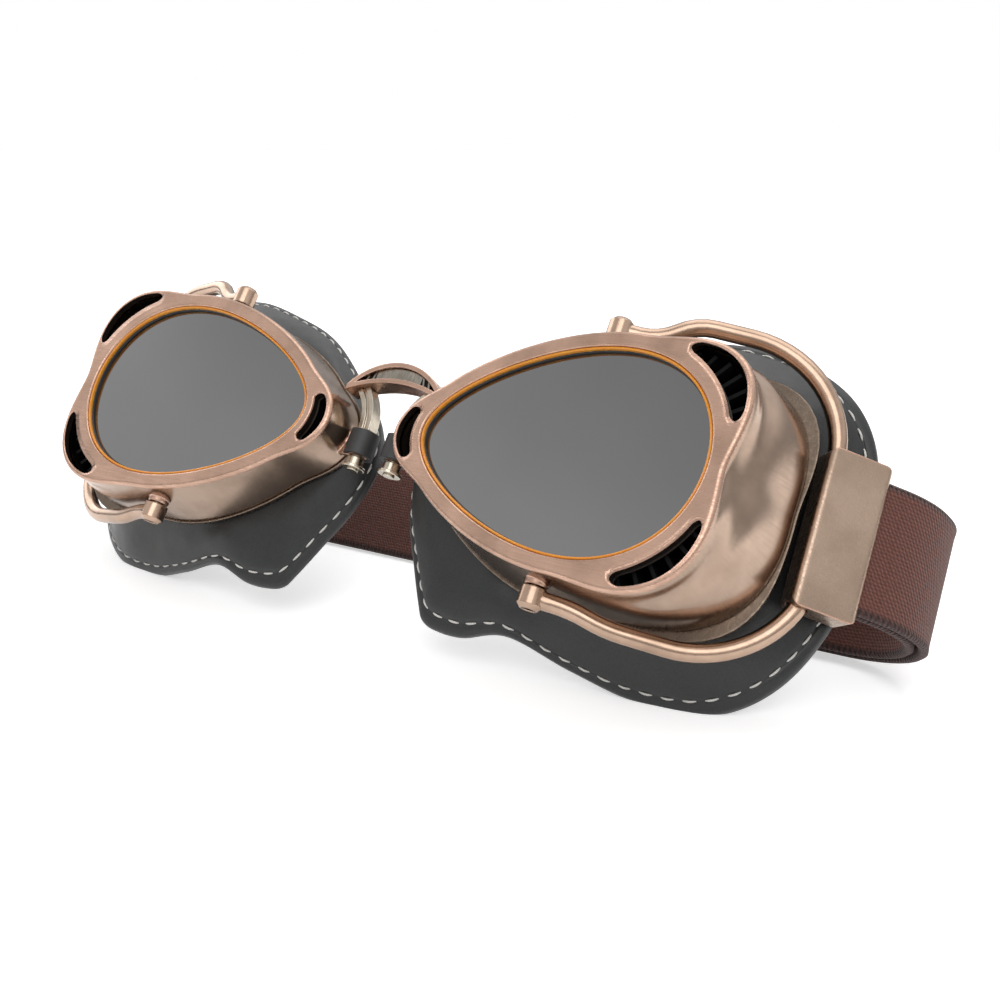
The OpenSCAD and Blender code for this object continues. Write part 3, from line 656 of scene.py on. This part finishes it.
# Each vent: first and last angle, and how far its inner edge is from the lens opening
SLOTS = ((15.5, 50.5, 3.3), (-54.5, -20.0, 3.3), (168.5, 198.0, 2.35))
BOSS_TOP = LENS_B + RIM_W + 0.9
BOSS_LOW = BOSS_TOP + 1.4
BAIL_Z, BOSS_R = 0.4, 2.3
KNUCKLE_Z, KNUCKLE_H, KNUCKLE_R = -2.3, 5.6, 2.15
START_T, STEP_T, ENDS_ROUND = -100.0, 2.0, 0.16
# Shares of the depth at which the wall has a row, and the rows where vents, wall and inside begin
WALL_ROWS = (0.0, 0.03, 0.07, 0.11, 0.15, 0.19, 0.23, 0.28, 0.34, 0.4, 0.48, 0.56, 0.64, 0.72, 0.8,
             0.88, 0.94, 0.98)
VENT_ROW, WALL_ROW = 8, 16
INSIDE_ROW = WALL_ROW + len(WALL_ROWS) + 2


def slot_edges(t, slot):
    """Inner and outer edge of a vent at angle t, with round ends."""
    inner, outer = slot[2], plate_out(t) - SLOT_RAIL
    k = abs((t - (slot[0] + slot[1]) / 2) / ((slot[1] - slot[0]) / 2))
    e = max(0.0, (k - 1 + ENDS_ROUND) / ENDS_ROUND)
    half = max(0.1, (outer - inner) / 2 * math.sqrt(max(0.0, 1 - e * e)))
    return (inner + outer) / 2 - half, (inner + outer) / 2 + half


def cup_columns():
    """Angles round the plate and, for each, the vent that it crosses."""
    cols, n = [], 40
    for k, (a, b, _) in enumerate(SLOTS):
        for i in range(n + 1):
            cols.append((lerp(a, b, (1 - math.cos(math.pi * i / n)) / 2), k))
    t = START_T
    while t < START_T + 360:
        if all(not (a - 0.6 < t < b + 0.6) for a, b, _ in SLOTS):
            cols.append((t, -1))
        t += STEP_T
    return sorted(cols)


def waist(t, s):
    """How far the wall is pulled in below the two temple vents."""
    depth = 1.15 * bump(t, 33, 44) + 0.8 * bump(t, -30, 38)
    return depth * bump(360 * s, 82, 82) if s < 0.46 else 0.0


def wall_out(t, s):
    """Distance out of the wall at share s of its depth."""
    return (plate_out(t) + s * (WALL_FLARE + CHIN_FLARE * bump(t, -95, 55))
            + (1 - (1 - s) ** 1.6) * TEMPLE_FLARE * bump(t, -3, 56) - waist(t, s))


def cup_profile(t, slot):
    """Rows of (distance out, depth), from the lip over the plate and wall to the inside."""
    p = plate_out(t)
    mid = (RIM_W - 0.1 + p - SLOT_RAIL) / 2
    a, b = slot_edges(t, SLOTS[slot]) if slot >= 0 else (mid - 0.1, mid + 0.1)
    b = min(b, p - PLATE_R - 0.12)
    a = min(a, b - 0.2)
    rows = [(0, PLATE_T), (0, 0.62), (0.06, 0.34), (0.18, 0.14), (0.36, 0.02), (0.6, -0.04), (0.85, 0.0),
            (lerp(0.85, a, 0.5), -0.02), (a, 0.0), (b, 0.0), (lerp(b, p - PLATE_R, 0.6), 0.0)]
    rows += [(p - PLATE_R * (1 - sin(g)), PLATE_R * (1 - cos(g))) for g in (12, 30, 48, 66, 82)]
    for s in WALL_ROWS:
        d = wall_out(t, s)
        rows.append((d, lerp(PLATE_R, back_depth(out(t, d)[0]), s)))
    for s in (1.0, 0.9, 0.7, 0.5, 0.3):
        d = wall_out(t, s) - (0.25 if s == 1.0 else WALL_IN)
        rows.append((d, lerp(PLATE_R, back_depth(out(t, d)[0]), s)))
    rows += [(p - WALL_IN, PLATE_T + 0.4), (b + 0.02, PLATE_T + 0.35), (a - 0.02, PLATE_T + 0.35)]
    return rows


def tube(verts, faces, uvs, rings):
    """Joins rings of points with the same count and closes both ends."""
    n = len(rings[0])
    base = len(verts)
    for r in rings:
        verts.extend(r)
        uvs.extend([(0, 0)] * n)
    for j in range(len(rings) - 1):
        for i in range(n):
            a, b = base + j * n + i, base + j * n + (i + 1) % n
            faces.append((a, b, b + n, a + n))
    faces.append(tuple(base + i for i in reversed(range(n))))
    faces.append(tuple(base + (len(rings) - 1) * n + i for i in range(n)))


def post(verts, faces, uvs, side, x, y, z0, z1, r):
    """An upright round post with eased ends."""
    n, edge = 40, 0.3
    prof = [(z0, r - edge), (z0 + edge * 0.3, r - edge * 0.3), (z0 + edge, r), (z1 - edge, r),
            (z1 - edge * 0.3, r - edge * 0.3), (z1, r - edge)]
    tube(verts, faces, uvs, [[eye_point((x + q * cos(360 * i / n), y + q * sin(360 * i / n), z), side)
                              for i in range(n)] for z, q in prof])


def cup(side, name):
    """The cast cup: plate, vents and wall as one skin, then bosses, knuckle and web."""
    cols = cup_columns()
    n = len(cols)
    prof = [cup_profile(t, k) for t, k in cols]
    m = len(prof[0])
    verts, uvs = [], []
    for j in range(m):
        for (t, k), rows in zip(cols, prof):
            d, y = rows[j]
            x, z = out(t, d)
            verts.append(eye_point((x, y, z), side))
            uvs.append(((t - START_T) * 0.0007, j * 0.0012))
    faces, looks = [], []
    for j in range(m):
        for i in range(n):
            i2 = (i + 1) % n
            same = cols[i][1] >= 0 and cols[i][1] == cols[i2][1]
            if same and j in (VENT_ROW, m - 2):
                continue
            a, b = j * n + i, j * n + i2
            c, d = ((j + 1) % m) * n + i2, ((j + 1) % m) * n + i
            faces.append((a, b, c, d))
            looks.append(2 if j >= INSIDE_ROW else 1 if j >= WALL_ROW else 0)
    count = len(faces)
    shaded_deep_faces = []
    # Each vent's rounded edge and the wall that goes in from it
    for k in range(len(SLOTS)):
        idx = [i for i, col in enumerate(cols) if col[1] == k]
        walk = [(i, VENT_ROW) for i in idx] + [(i, VENT_ROW + 1) for i in reversed(idx)]
        loop = [row * n + i for i, row in walk]
        flat = [out(cols[i][0], prof[i][row][0]) for i, row in walk]
        size = len(loop)
        before = loop
        for off, dep in ((0.5, 0.134), (0.87, 0.5), (1.0, 1.0), (1.0, 5.6)):
            ring = []
            for i in range(size):
                p, q = flat[i - 1], flat[(i + 1) % size]
                tx, tz = q[0] - p[0], q[1] - p[1]
                ln = math.hypot(tx, tz)
                nx, nz = -tz / ln, tx / ln
                x, z = flat[i][0] + nx * off * SLOT_R, flat[i][1] + nz * off * SLOT_R
                ring.append(len(verts))
                verts.append(eye_point((x, dep * SLOT_R, z), side))
                uvs.append((i * 0.0005, dep * 0.0005))
            for i in range(size):
                i2 = (i + 1) % size
                faces.append((before[i], before[i2], ring[i2], ring[i]))
            if dep > 1.0:
                shaded_deep_faces += range(len(faces) - size, len(faces))
            before = ring
    top, low = BAIL_Z + BOSS_TOP, BAIL_Z - BOSS_LOW
    for z0, z1 in ((top - 2.2, top), (low, low + 2.4)):
        post(verts, faces, uvs, side, LUG_X, LUG_Y, z0, z1, BOSS_R)
    post(verts, faces, uvs, side, HINGE_X, HINGE_Y, KNUCKLE_Z - KNUCKLE_H / 2,
         KNUCKLE_Z + KNUCKLE_H / 2, KNUCKLE_R)
    x1 = LENS_X - LENS_A - NOSE_LOBE - RIM_W + 1.0
    web = [[eye_point((x, HINGE_Y + y, KNUCKLE_Z + z), side) for x, y in
            ((HINGE_X, -0.8), (x1, -0.8), (x1, 0.8), (HINGE_X, 0.8))]
           for z in (-KNUCKLE_H / 2, KNUCKLE_H / 2)]
    tube(verts, faces, uvs, web)
    looks += [0] * (len(faces) - count)
    # The deepest band of each vent's wall gets the painted shade material, as the inside of the cup does.
    for i in shaded_deep_faces:
        looks[i] = 2
    ob = finish_mesh(name, verts, faces, copper, uvs=uvs)
    ob.data.materials.append(copper_wall)
    ob.data.materials.append(painted_recess_shade)
    ob.data.polygons.foreach_set("material_index", looks)
    bm = bmesh.new()
    bm.from_mesh(ob.data)
    bmesh.ops.recalc_face_normals(bm, faces=bm.faces)
    bm.to_mesh(ob.data)
    bm.free()
    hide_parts(name.replace("_cup", "_frame"))
    return ob


def seal(side, name, rows, mat, node_name=None):
    """A ring round the lens opening, from rows of (distance out, depth)."""
    n = 180
    verts = []
    for d, y in rows:
        for i in range(n):
            x, z = out(360 * i / n, d)
            verts.append(eye_point((x, y, z), side))
    ob = finish_mesh(name, verts, ring_faces(len(rows), n, side < 0), mat)
    if node_name:
        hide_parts(node_name)
    return ob


LENS_EDGE, LENS_SAG, LENS_BACK = 1.75, 1.0, PLATE_T + GASKET_T + 1.9
BEAD = ((0.02, 0.55), (-0.05, 0.36), (-0.22, 0.26), (-0.42, 0.32), (-0.52, 0.5), (-0.55, 0.9),
        (-0.5, 1.15), (0.02, 1.15))
SLEEVE = ((0.02, 1.1), (-0.4, 1.1), (-0.58, 1.2), (-0.68, 1.4), (-0.72, 1.72), (-0.72, 2.29),
          (0.02, 2.29))


def lens(side, name):
    """A shallow dome over the lens opening, closed behind by a flat back."""
    n = 120
    shares = (1.0, 0.97, 0.9, 0.8, 0.68, 0.55, 0.41, 0.27, 0.13)
    mid = (LENS_X + 1.5, LENS_Z)
    verts = []
    for back in (False, True):
        for f in (reversed(shares) if back else shares):
            for i in range(n):
                x, z = out(360 * i / n, 0.7)
                x, z = lerp(mid[0], x, f), lerp(mid[1], z, f)
                y = LENS_BACK if back else LENS_EDGE - LENS_SAG * (1 - f * f)
                verts.append(eye_point((x, y, z), side))
    m = len(shares)
    faces = []
    for j in range(2 * m):
        if j == m - 1:
            continue
        j2 = (j + 1) % (2 * m)
        for i in range(n):
            i2 = (i + 1) % n
            q = (j * n + i, j * n + i2, j2 * n + i2, j2 * n + i)
            faces.append(q if side > 0 else tuple(reversed(q)))
    verts.append(eye_point((mid[0], LENS_EDGE - LENS_SAG, mid[1]), side))
    verts.append(eye_point((mid[0], LENS_BACK, mid[1]), side))
    for i in range(n):
        i2 = (i + 1) % n
        f = ((m - 1) * n + i, (m - 1) * n + i2, 2 * m * n)
        b = (m * n + i2, m * n + i, 2 * m * n + 1)
        faces += [f, b] if side > 0 else [tuple(reversed(f)), tuple(reversed(b))]
    ob = finish_mesh(name, verts, faces, lens_mat)
    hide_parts(name.replace("_dome", "_lens"))
    return ob


SIDES = (("left", 1), ("right", -1))

for word, side in SIDES:
    for piece in (lens(side, word + "_dome"), cup(side, word + "_cup"),
                  seal(side, word + "_amber_seal", BEAD, amber, word + "_gasket"),
                  seal(side, word + "_inner_seal", SLEEVE, seal_black)):
        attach(piece, "eye_" + word)

for word, side in SIDES:
    for piece in (pad(side, word + "_leather"), stitches(side, word + "_stitches"),
                  foam(side, word + "_cushion")):
        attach(piece, "eye_" + word)


# Strap: one ribbon, followed from its sewn end round a clasp pin and along the back


def arc(c, r, a0, a1, n):
    angles = [lerp(a0, a1, k / n) for k in range(n + 1)]
    return [Vector((c.x + r * cos(a), c.y + r * sin(a))) for a in angles]


LAYER = (STRAP_GAP + STRAP_T) / 2
A0 = CLASP_ANGLE - 90


def ribbon(points):
    """Places along a line with the way outwards at each, and the length so far."""
    rows, run = [], 0.0
    for i, p in enumerate(points):
        a, b = points[max(i - 1, 0)], points[min(i + 1, len(points) - 1)]
        d = (b - a).normalized()
        rows.append((p, Vector((d.y, -d.x)), run))
        if i + 1 < len(points):
            run += (points[i + 1] - p).length
    return rows


def band(verts, faces, uvs, rows, side, start=0.0, cap_start=False):
    """Adds a flat band with thicker selvedges along rows from ribbon()."""
    half_w, half_t, n_w = STRAP_W / 2, STRAP_T / 2, 16
    loop = []
    for i in range(n_w + 1):
        v = lerp(-half_w + 0.5, half_w - 0.5, i / n_w)
        loop.append((v, half_t + (0.12 if abs(v) > half_w - 1.6 else 0.0)))
    loop.append((half_w, half_t * 0.45))
    loop.append((half_w, -half_t * 0.45))
    loop += [(v, -w) for v, w in reversed(loop[:n_w + 1])]
    loop.append((-half_w, -half_t * 0.45))
    loop.append((-half_w, half_t * 0.45))
    n = len(loop)
    base = len(verts)
    for p, o, run in rows:
        for v, w in loop:
            q = p + o * w
            verts.append(stand((q.x, q.y, STRAP_Z + v), side))
            uvs.append(((start + run) * MM, v * MM))
    for j in range(len(rows) - 1):
        for i in range(n):
            a, b = base + j * n + i, base + j * n + (i + 1) % n
            c, d = a + n, b + n
            faces.append((a, b, d, c) if side < 0 else (a, c, d, b))
    if cap_start:
        faces.append(tuple(base + i for i in (range(n) if side < 0 else reversed(range(n)))))


def strap_piece(name, runs, side):
    verts, faces, uvs = [], [], []
    for points, start, cap_start in runs:
        band(verts, faces, uvs, ribbon(points), side, start, cap_start)
    ob = finish_mesh(name, verts, faces, elastic, uvs=uvs)
    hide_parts("strap")
    return ob


def line(a, b, n):
    return [a.lerp(b, k / n) for k in range(n + 1)]


for word, side in SIDES:
    outer_cut, inner_cut = Vector((BEND_MID.x, REAR_Y + LAYER)), Vector((BEND_MID.x, REAR_Y - LAYER))
    normal = Vector((ALONG.y, -ALONG.x))
    # Round the pin, inside the clasp
    lead_out, lead_in = BEND_START + normal * LAYER, BEND_START - normal * LAYER
    hook = (line(lead_in, PIN - normal * LAYER, 8)[:-1] + arc(PIN, LAYER, A0 + 180, A0 + 360, 14)
            + line(PIN + normal * LAYER, lead_out, 8)[1:])
    arc_l = math.radians(180 - CLASP_ANGLE)
    hook_len = 2 * (BEND_START - PIN).length + math.pi * LAYER
    piece = strap_piece(word + "_strap_end", [(hook, 0.0, False)], side)
    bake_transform(piece)
    # Round the bend, two layers
    outer_arc = arc(BEND_MID, STRAP_BEND + LAYER, A0, 90, 40)
    inner_arc = arc(BEND_MID, STRAP_BEND - LAYER, 90, A0, 40)
    piece = strap_piece(word + "_strap_bend", [
        (outer_arc, hook_len, False),
        (inner_arc, -arc_l * (STRAP_BEND - LAYER), False)], side)
    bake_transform(piece)
    # Along the back, and the tail that lies inside it
    rear_start = hook_len + arc_l * (STRAP_BEND + LAYER)
    tail_l = BEND_MID.x - TAIL_X
    inner_start = -arc_l * (STRAP_BEND - LAYER) - tail_l
    sewn_y, free_y = REAR_Y + LAYER - STRAP_T - 0.05, REAR_Y - LAYER
    tail = [Vector((TAIL_X + x, y)) for x, y in
            ((0, sewn_y), (4, sewn_y), (7, free_y + 0.6), (10, free_y + 0.1))]
    tail += line(Vector((TAIL_X + 14, free_y)), inner_cut, 14)
    piece = strap_piece(word + "_strap_rear", [
        (line(outer_cut, Vector((0, REAR_Y + LAYER)), 60), rear_start, False),
        (tail, inner_start, True)], side)
    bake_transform(piece)


# Floor, light and camera

def sight(nt, path):
    """1 for rays that see the surroundings, 0 for rays that light things."""
    mirrored = math_node(nt, "ADD", path.outputs["Is Glossy Ray"], path.outputs["Is Transmission Ray"])
    return math_node(nt, "ADD", path.outputs["Is Camera Ray"], mirrored, True)


def stage_floor():
    bpy.ops.mesh.primitive_plane_add(size=60)
    ob = bpy.context.object
    ob.name = "table"
    m, nt, bs = new_material("table_white")
    bs.inputs["Base Color"].default_value = (0.86, 0.86, 0.86, 1)
    bs.inputs["Roughness"].default_value = 0.7
    bs.inputs["Specular IOR Level"].default_value = 0.1
    lp = nt.nodes.new("ShaderNodeLightPath")
    far = node(nt, "ShaderNodeTexGradient", gradient_type="SPHERICAL")
    nt.links.new(coords(nt, (2.2, 2.2, 2.2)), far.inputs["Vector"])
    em = node(nt, "ShaderNodeEmission")
    em.inputs["Color"].default_value = (1, 1, 1, 1)
    glow = ramp(nt, far.outputs["Fac"], [(0.0, grey(0.8)), (0.6, grey(0.52))])
    nt.links.new(glow, em.inputs["Strength"])
    add = nt.nodes.new("ShaderNodeAddShader")
    mixer = nt.nodes.new("ShaderNodeMixShader")
    outn = [n for n in nt.nodes if n.type == "OUTPUT_MATERIAL"][0]
    nt.links.new(bs.outputs[0], add.inputs[0])
    nt.links.new(em.outputs[0], add.inputs[1])
    nt.links.new(sight(nt, lp), mixer.inputs[0])
    nt.links.new(bs.outputs[0], mixer.inputs[1])
    nt.links.new(add.outputs[0], mixer.inputs[2])
    nt.links.new(mixer.outputs[0], outn.inputs[0])
    ob.data.materials.append(m)


LAMP_TARGET = (0, 0, 0.03)


def area(name, loc, size, size_y, power):
    li = bpy.data.lights.new(name, "AREA")
    li.energy = power
    li.shape = "RECTANGLE"
    li.size = size
    li.size_y = size_y
    ob = bpy.data.objects.new(name, li)
    bpy.context.scene.collection.objects.link(ob)
    ob.location = loc
    ob.rotation_euler = (Vector(LAMP_TARGET) - Vector(loc)).to_track_quat("-Z", "Y").to_euler()


stage_floor()
area("key_box", (0.6, -1.3, 1.6), 1.6, 1.4, 14)
area("side_box", (-1.8, 0.4, 0.9), 1.4, 1.2, 9)
area("top_box", (0.1, 0.7, 1.9), 2.0, 1.6, 16)

world = bpy.data.worlds.new("studio")
bpy.context.scene.world = world
world.use_nodes = True
wt = world.node_tree
wt.nodes.clear()
w_out = wt.nodes.new("ShaderNodeOutputWorld")
w_light = wt.nodes.new("ShaderNodeBackground")
w_seen = wt.nodes.new("ShaderNodeBackground")
w_mix = wt.nodes.new("ShaderNodeMixShader")
w_path = wt.nodes.new("ShaderNodeLightPath")
w_light.inputs[0].default_value = (0.5, 0.5, 0.5, 1)
w_seen.inputs[0].default_value = (1, 1, 1, 1)
w_sight = sight(wt, w_path)
w_sky = wt.nodes.new("ShaderNodeTexCoord")
w_up = wt.nodes.new("ShaderNodeSeparateXYZ")
wt.links.new(w_sky.outputs["Generated"], w_up.inputs[0])
w_tone = ramp(wt, w_up.outputs["Z"], [(0.0, grey(0.3)), (0.1, grey(0.42)), (0.42, grey(1)),
                                      (0.6, grey(1)), (1.0, grey(0.6))])
w_white = math_node(wt, "MAXIMUM", w_path.outputs["Is Camera Ray"], w_tone)
wt.links.new(w_white, w_seen.inputs["Strength"])
wt.links.new(w_sight, w_mix.inputs[0])
wt.links.new(w_light.outputs[0], w_mix.inputs[1])
wt.links.new(w_seen.outputs[0], w_mix.inputs[2])
wt.links.new(w_mix.outputs[0], w_out.inputs[0])

cam_data = bpy.data.cameras.new("camera")
cam_data.lens = 41.4
cam_data.sensor_width = 36
cam_data.clip_start, cam_data.clip_end = 0.01, 100
camera = bpy.data.objects.new("camera", cam_data)
bpy.context.scene.collection.objects.link(camera)
camera.location = (0.149366, -0.205112, 0.102068)
AZIMUTH, ELEVATION = 31.671, 17.018
camera.rotation_euler = (math.radians(90 - ELEVATION), 0, math.radians(AZIMUTH))
bpy.context.scene.camera = camera
bpy.context.scene.view_settings.view_transform = "Standard"
